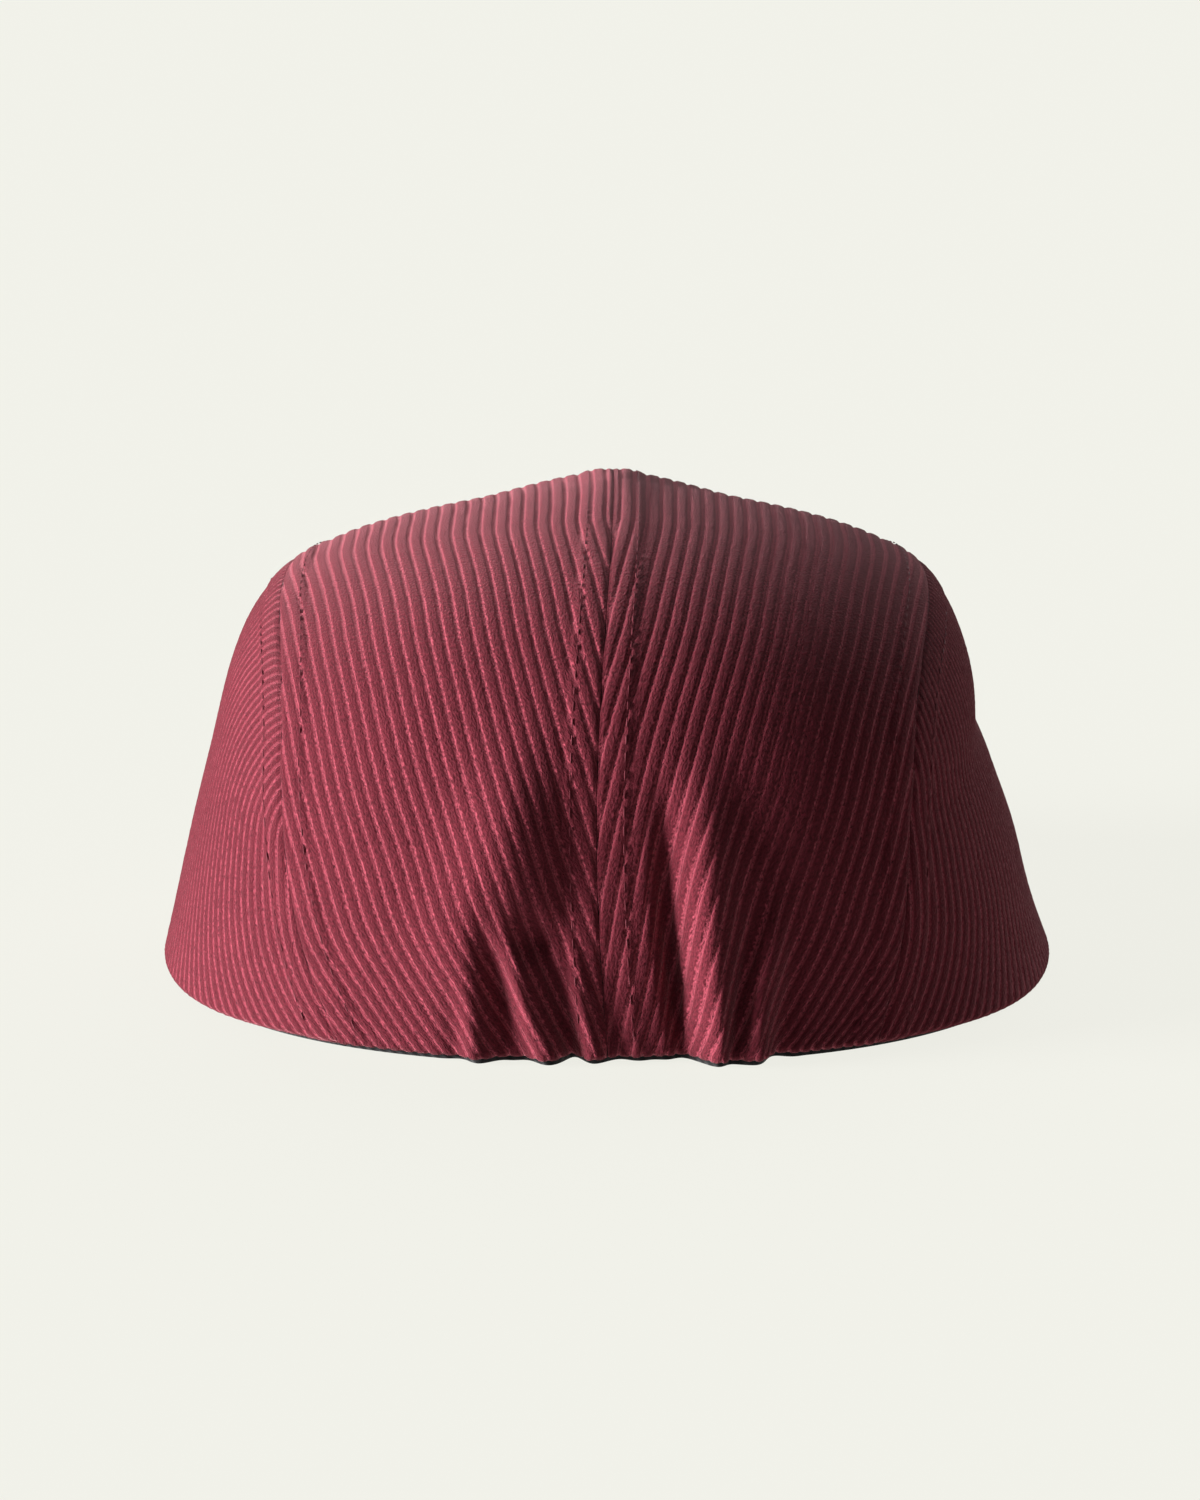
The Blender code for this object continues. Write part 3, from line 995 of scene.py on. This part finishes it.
@dataclass
class Wall:
    """A closed cloth wall: a fine outer grid, a coarser inner grid, and a rim that joins them."""

    name: str
    outer: np.ndarray
    inner: np.ndarray
    across: np.ndarray
    along: np.ndarray
    ratio: int = 3
    edge_pile: float = 0.5

    def build(self) -> bpy.types.Object:
        """Builds the mesh, with the attributes across, along and pile on its points.

        Returns:
            The wall's object.
        """
        rows, columns = self.outer.shape[:2]
        step = (slice(None, None, self.ratio),) * 2
        coarse = self.inner[step]
        fine_index = np.arange(rows * columns).reshape(rows, columns)
        coarse_index = rows * columns + np.arange(coarse.shape[0] * coarse.shape[1]).reshape(coarse.shape[:2])
        faces = grid_faces(fine_index).tolist() + grid_faces(coarse_index)[:, ::-1].tolist()
        for fine, rough in zip(rim_of(fine_index), rim_of(coarse_index)):
            for k in range(len(rough) - 1):
                run = fine[k * self.ratio : (k + 1) * self.ratio + 1]
                faces.append([*run[::-1].tolist(), int(rough[k]), int(rough[k + 1])])
        if self.faces_inwards():
            faces = [face[::-1] for face in faces]
        face_pile = np.ones((rows, columns))
        face_pile[:, [0, -1]] = face_pile[-1] = self.edge_pile
        values = {
            "across": self.on_both(self.across, self.across[step]),
            "along": self.on_both(self.along, self.along[step]),
            "pile": self.on_both(face_pile, np.zeros(coarse_index.shape)),
        }
        points = np.vstack([self.outer.reshape(-1, 3), coarse.reshape(-1, 3)])
        return add_cloth(self.name, points, faces, values)

    @staticmethod
    def on_both(fine: np.ndarray, coarse: np.ndarray) -> np.ndarray:
        """Joins the numbers of the outer grid and of the inner one."""
        return np.concatenate([fine.reshape(-1), coarse.reshape(-1)])

    def faces_inwards(self) -> bool:
        """Tells whether the outer grid's own order of points turns its faces inwards.

        Returns:
            True if it does.
        """
        row, column = self.outer.shape[0] // 2, self.outer.shape[1] // 2
        here = self.outer[row, column]
        turned = np.cross(self.outer[row, column + 1] - here, self.outer[row + 1, column] - here)
        return bool(np.dot(turned, here - self.inner[row, column]) < 0)


@dataclass
class CrownPanel:
    """One corduroy panel of the crown. Its grid runs up from the hem, and its columns from start to end."""

    name: str
    side: Side
    crown: CrownShape
    seams: list[Seam]
    columns: int
    rows: int
    cloth: float = 0.0020
    lip_radius: float = 0.0013
    lip_rows: int = 6
    wall_up: float = 0.6
    sewn_from: float = 0.03
    profile: SeamProfile = field(default_factory=SeamProfile)

    @property
    def cut(self) -> Cut:
        """How the cloth of this side was cut."""
        return CUTS[self.side]

    def places(self, hem_climb: float) -> np.ndarray:
        """Gives the panel's disc points, starting at a climb above the hem."""
        raise NotImplementedError

    def wale_places(self, run: np.ndarray, rise: np.ndarray, place: np.ndarray) -> np.ndarray:
        """Gives each point's distance across the wales.

        Args:
            run: Length along the rows, from the start edge.
            rise: Length along the columns, from the hem.
            place: The disc points.

        Returns:
            The distance across, in metres.
        """
        raise NotImplementedError

    def face(self, place: np.ndarray) -> np.ndarray:
        """Gives the outer face with its folds, seams and stitch channels.

        Args:
            place: Disc points.

        Returns:
            Their points in space.
        """
        smooth = self.crown.dome(place)
        rise = self.crown.relief(place)
        for seam in self.seams:
            distance, along = seam.measure(smooth)
            rise = rise + self.profile.rise(distance, along)
        return smooth + self.crown.outward(place) * rise[..., None]

    def build(self) -> bpy.types.Object:
        """Builds the panel's closed wall, with its hem turned under.

        Returns:
            The panel's object.
        """
        place = self.places(self.lip_radius / self.crown.height_per_climb(self.wall_up))
        outer = self.face(place)
        outward = self.crown.outward(place)
        inner = outer - outward * self.cloth
        hem = self.hem_line(place)
        inwards = outward[0] * [1, 1, 0]
        inwards /= -np.linalg.norm(inwards, axis=-1, keepdims=True)
        angle = np.linspace(0.5 * math.pi, 0, self.lip_rows, endpoint=False)[:, None, None]
        turn = inwards[None] * (1 - np.cos(angle)) * self.lip_radius
        drop = np.array([0, 0, 1]) * np.sin(angle) * (outer[0, :, 2] - hem)[None, :, None]
        outer = np.vstack([outer[:1] + turn - drop, outer])
        share = np.linspace(0, 1, self.lip_rows, endpoint=False)[:, None]
        lip = np.repeat(inner[:1], self.lip_rows, axis=0)
        lip[..., 2] = hem + (inner[0, :, 2] - hem) * share
        inner = np.vstack([lip, inner])
        full = np.vstack([np.repeat(place[:1], self.lip_rows, axis=0), place])
        run, rise = running_length(outer, 1), running_length(outer, 0)
        return Wall(self.name, outer, inner, self.wale_places(run, rise, full), rise).build()

    def hem_line(self, place: np.ndarray) -> np.ndarray:
        """Gives the hem's height under each column."""
        direction, _ = polar(place[0])
        return self.crown.hem_height(direction)

    def stitch_line(self, seam: Seam) -> np.ndarray:
        """Finds the line of a topstitch row beside a seam.

        Args:
            seam: One of the panel's seams.

        Returns:
            Points on the panel's face, half a seam band from the seam.
        """
        place = self.places(self.sewn_from)
        distance, _ = seam.measure(self.crown.dome(place))
        points = []
        for row, line in zip(distance, self.face(place)):
            near = np.flatnonzero(np.diff(np.sign(row - self.profile.half_band)))
            if len(near) == 0:
                continue
            k = near[np.abs(row[near]).argmin()]
            share = (self.profile.half_band - row[k]) / (row[k + 1] - row[k])
            points.append(line[k] + share * (line[k + 1] - line[k]))
        return np.array(points)


@dataclass
class BackPanel(CrownPanel):
    """A back panel: columns from the centre seam to the side seam, rows from the hem to the front panel."""

    bend_height: float = 0.130
    back_height: float = 0.088
    bend_radius: float = 0.012
    gather_height: float = 0.026
    gather_power: float = 2.8
    fold_share: float = 0.55
    fold_ease: int = 16
    first_wale: float = 0.00145

    def places(self, hem_climb: float) -> np.ndarray:
        """Gives the panel's disc points, starting at a climb above the hem."""
        bottom = disc(np.linspace(0, self.side.value * SIDE_SEAM[0].direction, self.columns + 1), 0.0)
        top = seam_curve(FRONT_TOP, self.columns, self.side)[::-1]
        grid = patch(bottom, top, centre_line(self.rows), seam_curve(SIDE_SEAM, self.rows, self.side))
        return lifted(grid, hem_climb)

    def wale_places(self, run: np.ndarray, rise: np.ndarray, place: np.ndarray) -> np.ndarray:
        """Gives the distance across wales that lean to the centre seam and bunch at the elastic.

        The lengths are those of the smooth crown. A fold adds a share of its own, as the cloth is cut flat.

        Args:
            run: Not needed here.
            rise: Not needed here.
            place: The disc points.

        Returns:
            The distance across, in metres.
        """
        smooth = self.crown.dome(place)
        level, up = running_length(smooth, 1), running_length(smooth, 0)
        on_roof, on_back = (math.tan(math.radians(lean)) for lean in (self.cut.top_lean, self.cut.lean))
        drift = on_roof * softened(self.bend_height - up, self.bend_radius)
        drift += (on_back - on_roof) * softened(self.back_height - up, self.bend_radius)
        gathered = self.cut.gather * np.clip(1 - up / self.gather_height, 0, None) ** self.gather_power
        extra = eased(running_length(self.crown.surface(place), 1) - level, self.fold_ease)
        return level * (1 + gathered) + self.fold_share * extra + drift + self.first_wale


@dataclass
class SidePanel(CrownPanel):
    """A side panel: columns from the back corner to the front corner, rows from the hem to the shoulder."""

    pull: float = 0.010
    pull_height: float = 0.030
    pull_power: float = 2.4
    lean: float = 20.0
    fan_height: float = 0.040
    fan_radius: float = 0.010
    ear: float = 90.0
    calm_direction: float = 84.0
    calm_reach: float = 44.0

    def places(self, hem_climb: float) -> np.ndarray:
        """Gives the panel's disc points, starting at a climb above the hem."""
        ends = (self.side.value * SIDE_SEAM[0].direction, self.side.value * FRONT_SIDE[0].direction)
        bottom = disc(np.linspace(*ends, self.columns + 1), 0.0)
        top = seam_curve(SIDE_SEAM, self.columns, self.side, first=SHOULDER_ROW)
        start = seam_curve(SIDE_SEAM, self.rows, self.side, last=SHOULDER_ROW)
        return lifted(patch(bottom, top, start, seam_curve(FRONT_SIDE, self.rows, self.side)), hem_climb)

    def wale_places(self, run: np.ndarray, rise: np.ndarray, place: np.ndarray) -> np.ndarray:
        """Gives the distance across wales that stand by the ear, fan out above and sweep in below.

        Args:
            run: Length along the rows, from the start edge.
            rise: Length along the columns, from the hem.
            place: The disc points.

        Returns:
            The distance across, in metres.
        """
        direction = np.abs(polar(place)[0])
        ear = np.array([np.interp(self.ear, angles, lengths) for angles, lengths in zip(direction, run)])
        near = smooth_step((self.calm_direction - direction) / self.calm_reach)
        sweep = self.pull * np.clip(1 - rise / self.pull_height, 0, None) ** self.pull_power
        fanned = math.tan(math.radians(self.cut.fan)) * softened(rise - self.fan_height, self.fan_radius)
        leaning = math.tan(math.radians(self.lean)) * rise
        return run - ear[:, None] + (sweep + fanned - leaning) * near


@dataclass
class FrontPanel(CrownPanel):
    """The front panel: columns from the wearer's left to the right, rows from the hem to the top seam."""

    def places(self, hem_climb: float) -> np.ndarray:
        """Gives the panel's disc points, starting at a climb above the hem."""
        first = FRONT_SIDE[0].direction
        bottom = disc(np.linspace(first, 360.0 - first, self.columns + 1), 0.0)
        left, right = (seam_curve(FRONT_TOP, self.columns // 2, side) for side in Side)
        start, end = (seam_curve(FRONT_SIDE, self.rows, side) for side in Side)
        return lifted(patch(bottom, np.vstack([left, right[::-1][1:]]), start, end), hem_climb)

    def wale_places(self, run: np.ndarray, rise: np.ndarray, place: np.ndarray) -> np.ndarray:
        """Wales stand upright beside the middle of the forehead."""
        return run - run[:, self.columns // 2][:, None]


def lifted(place: np.ndarray, hem_climb: float, reach: float = 0.30) -> np.ndarray:
    """Starts a panel's rows a little above the hem, where its lip begins.

    The lift goes by the climb alone, so that two panels still meet along the whole of their seam.

    Args:
        place: The panel's disc points.
        hem_climb: The lift at the hem.
        reach: The climb at which the lift has faded.

    Returns:
        The lifted disc points.
    """
    direction, climb = polar(place)
    share = np.clip(1 - climb / reach, 0, 1) ** 4
    return disc(direction, climb + hem_climb * share)


@dataclass
class InnerBand:
    """A strip inside the hem: the twill sweatband, or the elastic behind the gathers."""

    name: str
    crown: CrownShape
    start: float
    end: float
    columns: int
    rows: int = 24
    depth: float = 0.0028
    thickness: float = 0.0012
    height: float = 0.027

    def build(self) -> bpy.types.Object:
        """Builds the strip's closed wall, with its foot on the ground plane behind.

        Returns:
            The strip's object.
        """
        direction = np.linspace(self.start, self.end, self.columns + 1)
        _, wall_up, _, _ = self.crown.meridian(wrapped(direction))
        top = self.height / self.crown.height_per_climb(wall_up)
        place = disc(direction, np.linspace(0, 1, self.rows + 1)[:, None] * top)
        out = self.crown.surface(place, self.depth)
        inside = self.crown.surface(place, self.depth + self.thickness)
        behind = np.abs(wrapped(direction)) < 90
        fade = np.linspace(1, 0, self.rows + 1)[:, None] ** 2
        drop = self.crown.hem_height(wrapped(direction)) * behind * fade
        for grid in (out, inside):
            grid[..., 2] -= drop
        return Wall(self.name, out, inside, running_length(out, 1), running_length(out, 0), ratio=1).build()


def wrapped(direction: np.ndarray) -> np.ndarray:
    """Brings directions between -180 and 180 degrees."""
    return (direction + 180.0) % 360.0 - 180.0


@dataclass
class Peak:
    """The stiff peak: a crescent with rounded edges, arched across, in corduroy that runs front to back."""

    crown: CrownShape
    tip: float
    columns: int = 450
    rows: int = 54
    edge_rows: int = 10
    thickness: float = 0.0030
    squareness: float = 2.3
    gap: float = 0.0003
    end_share: float = 0.035
    edge_pile: float = 0.45

    def outline(self) -> tuple[np.ndarray, np.ndarray]:
        """Draws the peak in plan.

        Returns:
            Points of the inner edge, on the crown, and as many of the outer edge.
        """
        half_angle = self.crown.peak_half_angle
        direction = np.linspace(180.0 - half_angle, 180.0 + half_angle, self.columns + 1)
        hem = self.crown.hem_outline(direction)
        inner = hem + hem / np.linalg.norm(hem, axis=-1, keepdims=True) * self.gap
        half, start = self.crown.peak_half_width(), inner[0, 1]
        angle = np.linspace(0, math.pi, self.columns + 1)
        power = 2 / self.squareness
        x = half * np.sign(np.cos(angle)) * np.abs(np.cos(angle)) ** power
        y = start - (start - self.tip) * np.clip(np.sin(angle), 0, None) ** power
        cut_off = round(self.columns * self.end_share)
        return inner[cut_off:-cut_off], np.stack([x, y], axis=-1)[cut_off:-cut_off]

    def build(self) -> bpy.types.Object:
        """Builds the peak as one closed shell.

        Returns:
            The peak's object.
        """
        inner, outer = self.outline()
        radius = self.thickness / 2
        way = outer - inner
        length = np.linalg.norm(way, axis=-1, keepdims=True)
        share = np.linspace(0, 1, self.rows + 1)[:, None, None]
        flat = inner[None] + (way * (1 - radius / length))[None] * share
        angle = np.linspace(0, math.pi, self.edge_rows + 1)[1:-1]
        edge = flat[-1][None] + (way / length * radius)[None] * np.sin(angle)[:, None, None]
        lift = self.crown.arch(flat[..., 0])
        top = np.dstack([flat, lift + self.thickness])
        edge_height = self.crown.arch(edge[..., 0]) + radius + radius * np.cos(angle)[:, None]
        round_edge = np.dstack([edge, edge_height])
        bottom = np.dstack([flat[::-1], lift[::-1]])
        return self.shell(np.vstack([top, round_edge, bottom]))

    def shell(self, loop: np.ndarray) -> bpy.types.Object:
        """Closes the loop of rows into a shell, and stores the wale attributes.

        Args:
            loop: Rows of points from the inner edge over the top, round the outer edge and back below.

        Returns:
            The peak's object.
        """
        rows, columns = loop.shape[:2]
        index = np.arange(rows * columns).reshape(rows, columns)
        faces = grid_faces(np.vstack([index, index[:1]]))[:, ::-1].tolist()
        faces += [index[:, 0].tolist(), index[::-1, -1].tolist()]
        pile = np.ones((rows, columns))
        pile[self.rows - 1 : self.rows + self.edge_rows + 1] = self.edge_pile
        values = {"across": loop[..., 0], "along": running_length(loop, 0), "pile": pile}
        return add_cloth("peak_cover", loop, faces, values)


@dataclass
class Studio:
    """The plain studio: a pale floor, a soft key light from the wearer's left, a camera behind the cap."""

    scale: float = 0.0002
    frame_height: float = 1500
    distance: float = 1.0
    elevation: float = 11.5
    target: tuple[float, float, float] = (0.0015, 0.0, 0.0395)
    sensor: float = 36.0
    nearest: float = 0.05
    floor_reach: float = 40.0
    key_direction: tuple[float, float, float] = (0.96, 0.20, 0.12)
    key_spread: float = 30.0
    key_strength: float = 13.6
    glow_direction: tuple[float, float, float] = (-0.10, -0.84, 0.54)
    glow_spread: float = 60.0
    glow_strength: float = 2.2
    room_light: float = 0.015
    paper: StudioPaper = field(default_factory=StudioPaper)

    def build(self) -> None:
        """Adds the floor, the lights, the world and the camera."""
        self.add_floor()
        self.add_lights()
        self.set_world()
        self.add_camera()
        bpy.context.scene.view_settings.view_transform = "Standard"

    def add_floor(self) -> None:
        """Adds a wide floor of background paper that reaches far behind the cap."""
        far = self.floor_reach
        mesh = bpy.data.meshes.new("paper_floor")
        mesh.from_pydata([(-far, -far, 0), (far, -far, 0), (far, far, 0), (-far, far, 0)], [], [(0, 1, 2, 3)])
        mesh.materials.append(self.paper.material())
        floor = add_object("paper_floor", mesh)

    def add_lights(self) -> None:
        """Adds the key light from the wearer's left, and the fainter glow of the backdrop beyond the cap."""
        self.add_lamp("key_window", self.key_direction, self.key_spread, self.key_strength)
        self.add_lamp("backdrop_glow", self.glow_direction, self.glow_spread, self.glow_strength)

    def add_lamp(self, name: str, direction: Sequence[float], spread: float, strength: float) -> None:
        """Adds a wide light far away, so that it falls evenly and its shadows are soft.

        Args:
            name: The lamp's name.
            direction: The way towards the lamp.
            spread: The lamp's width, in degrees as seen from the cap.
            strength: Its strength.
        """
        light = bpy.data.lights.new(name, "SUN")
        light.angle = math.radians(spread)
        light.energy = strength
        lamp = add_object(name, light)
        lamp.location = Vector(direction)
        lamp.rotation_euler = (-lamp.location).to_track_quat("-Z", "Y").to_euler()

    def set_world(self) -> None:
        """Sets the room's own pale light."""
        world = bpy.data.worlds.new("pale_room")
        world.use_nodes = True
        kit = NodeKit(world.node_tree)
        light = {"Color": srgb(self.paper.colour), "Strength": kit.seen(self.room_light, 1.0)}
        kit.fill(world.node_tree.nodes["Background"], light)
        bpy.context.scene.world = world

    def add_camera(self) -> None:
        """Adds the camera at the photograph's angle, behind the cap and a little above it."""
        data = bpy.data.cameras.new("camera")
        data.sensor_fit = "VERTICAL"
        data.sensor_width = data.sensor_height = self.sensor
        data.lens = self.sensor * self.distance / (self.frame_height * self.scale)
        data.clip_start = self.nearest
        camera = add_object("camera", data)
        angle = math.radians(self.elevation)
        away = Vector((0.0, math.cos(angle), math.sin(angle)))
        camera.location = Vector(self.target) + away * self.distance
        camera.rotation_euler = (-away).to_track_quat("-Z", "Y").to_euler()
        bpy.context.scene.camera = camera


@dataclass
class Cap:
    """The whole cap: five crown panels, the peak, the inner band and elastic, and the topstitching."""

    crown: CrownShape
    cloth: Corduroy = field(default_factory=Corduroy)
    relief: float = 0.00025
    flank: float = 0.28
    crest_fall: float = 0.00008
    tuft_rise: float = 0.00026
    tuft_size: float = 0.0008
    back_grid: tuple[int, int] = (306, 204)
    side_grid: tuple[int, int] = (450, 120)
    front_grid: tuple[int, int] = (420, 108)

    def __post_init__(self) -> None:
        """Makes the tools and the finishes, and lays the seams."""
        self.wales, self.stitches = WaleTool(), StitchTool()
        self.face_material = self.cloth.material()
        # The second colour of this weave is painted shade in the dips between its threads.
        self.back_material = PlainWeave("corduroy_ground_weave", "6e2a37", "4a1a24", thread=0.0005).material()
        self.thread = Thread().material()
        self.centre = Seam(self.crown, centre_line(Seam.POINTS))
        self.sides, self.corners, self.tops = (self.lay(rows) for rows in (SIDE_SEAM, FRONT_SIDE, FRONT_TOP))

    def lay(self, rows: Sequence[SeamPoint]) -> dict[Side, Seam]:
        """Lays a seam on both sides of the crown."""
        return {side: Seam(self.crown, seam_curve(rows, Seam.POINTS, side)) for side in Side}

    def build(self) -> None:
        """Builds and dresses every piece: the back, side and front panels, the peak and the bands."""
        for side in Side:
            tag = side.name.lower()
            seams = [self.centre, self.sides[side], self.tops[side]]
            back = BackPanel(f"back_cloth_{tag}", side, self.crown, seams, *self.back_grid)
            self.dress(back.build(), f"back_panel_{tag}", seed=1.0)
            self.sew(back, seams[:2], f"back_topstitch_{tag}")
            seams = [self.sides[side], self.corners[side]]
            flank = SidePanel(f"side_cloth_{tag}", side, self.crown, seams, *self.side_grid)
            self.dress(flank.build(), f"side_panel_{tag}", seed=2.0)
            self.sew(flank, seams, f"side_topstitch_{tag}")
        seams = [*self.corners.values(), *self.tops.values()]
        front = FrontPanel("front_cloth", Side.LEFT, self.crown, seams, *self.front_grid)
        self.dress(front.build(), "front_panel", seed=3.0)
        tip = float(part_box("peak")[0][1])
        self.dress(Peak(self.crown, tip).build(), "peak", seed=4.0)
        self.add_bands()

    def dress(self, piece: bpy.types.Object, node: str, seed: float) -> None:
        """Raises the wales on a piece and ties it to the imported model.

        Args:
            piece: The piece, a plain cloth mesh.
            node: The CAD node that it stands for.
            seed: The seed of its uneven pile.
        """
        values = {
            "Pitch": self.cloth.pitch,
            "Relief": self.relief,
            "Flank": self.flank,
            "Crown": self.crest_fall,
            "Tufts": self.tuft_rise,
            "Tuft Size": self.tuft_size,
            "Seed": seed,
            "Face Material": self.face_material,
            "Back Material": self.back_material,
        }
        self.settle(self.wales.apply(piece, values), node)

    def sew(self, panel: CrownPanel, seams: list[Seam], name: str) -> None:
        """Sews a topstitch row beside a panel's seams.

        Args:
            panel: The panel.
            seams: The seams that have a row on this panel.
            name: The name of the piece that the stitches make.
        """
        points, edges = [], []
        for seam in seams:
            line = panel.stitch_line(seam)
            first = len(points)
            points.extend(line.tolist())
            edges.extend((first + k, first + k + 1) for k in range(len(line) - 1))
        mesh = bpy.data.meshes.new(name)
        mesh.from_pydata(points, edges, [])
        profile = panel.profile
        values = {
            "Pitch": profile.stitch_pitch,
            "Length": profile.stitch_pitch * profile.stitch_share,
            "Radius": profile.stitch_radius,
            "Material": self.thread,
        }
        self.settle(self.stitches.apply(add_object(name, mesh), values))

    def add_bands(self) -> None:
        """Adds the sweatband and the elastic."""
        seam = SIDE_SEAM[0].direction
        # The second colour of each weave is painted shade in the dips between its threads.
        twill = PlainWeave("black_cotton_twill", "17161a", "0b0a0c", thread=0.0006)
        elastic = PlainWeave("black_ribbed_elastic", "141317", "08080a", thread=0.0011)
        sweatband = InnerBand("sweatband_tape", self.crown, seam, 360.0 - seam, columns=300)
        gathering = InnerBand("elastic_tape", self.crown, -seam, seam, columns=240)
        for band, finish, node, slot in (
            (sweatband, twill, "sweatband", "band_twill"),
            (gathering, elastic, "back_elastic", "elastic_knit"),
        ):
            piece = band.build()
            piece.data.materials.append(finish.material())
            self.settle(piece, node)

    def settle(self, piece: bpy.types.Object, node: str | None = None) -> None:
        """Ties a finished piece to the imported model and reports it.

        Args:
            piece: The piece.
            node: The CAD node that it stands for, if it does.
        """
        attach(piece, "root")
        if node:
            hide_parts(node)
        LOG.info("%s: %d faces", piece.name, len(piece.data.polygons))


def main() -> None:
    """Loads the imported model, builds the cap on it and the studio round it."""
    logging.basicConfig(level=logging.INFO, format="%(name)s: %(message)s")
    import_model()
    Cap(CrownShape.from_frame()).build()
    Studio().build()


if __name__ == "__main__":
    main()
